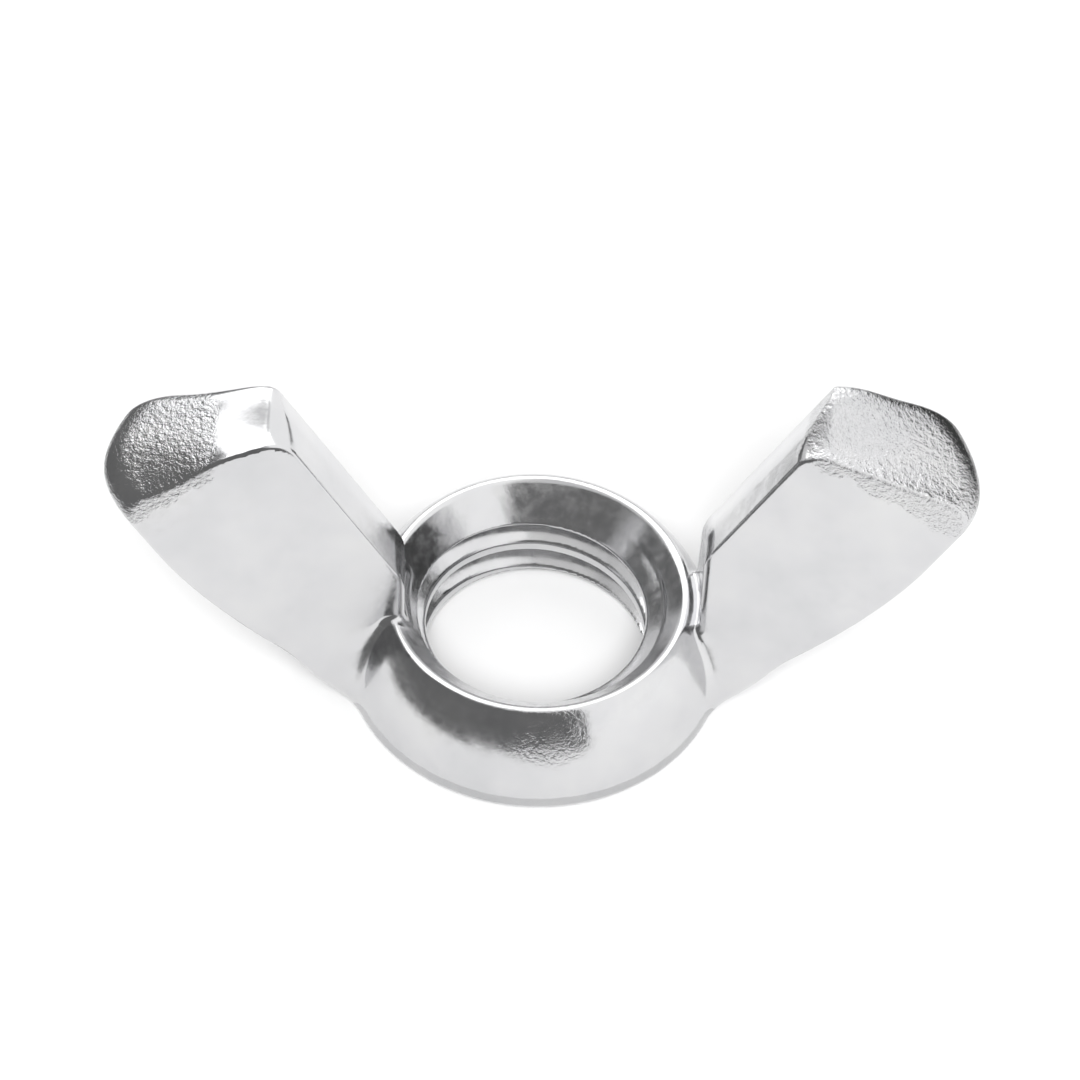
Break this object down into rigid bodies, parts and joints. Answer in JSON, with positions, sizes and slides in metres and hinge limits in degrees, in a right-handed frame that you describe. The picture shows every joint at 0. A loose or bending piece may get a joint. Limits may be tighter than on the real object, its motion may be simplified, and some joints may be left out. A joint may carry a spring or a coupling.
{
  "type": "wing nut",
  "caption": "Cold-forged wing nut with a low round hub, a through thread along its axis and steep flat-faced wings for turning by hand.",
  "frame": {"origin": "on the thread axis, in the plane of the bearing face", "axes": "+Z along the thread axis from the bearing face towards the wing tips, wings along -X and +X"},
  "size_m": [0.0338, 0.015, 0.0159],
  "materials": {
    "plated_steel": "bright zinc plating over cold-forged steel, smooth on the flats and grainy on the wing tips"
  },
  "bodies": {
    "root": {"hub": "plated_steel", "left_wing": "plated_steel", "right_wing": "plated_steel"}
  },
  "joints": []
}
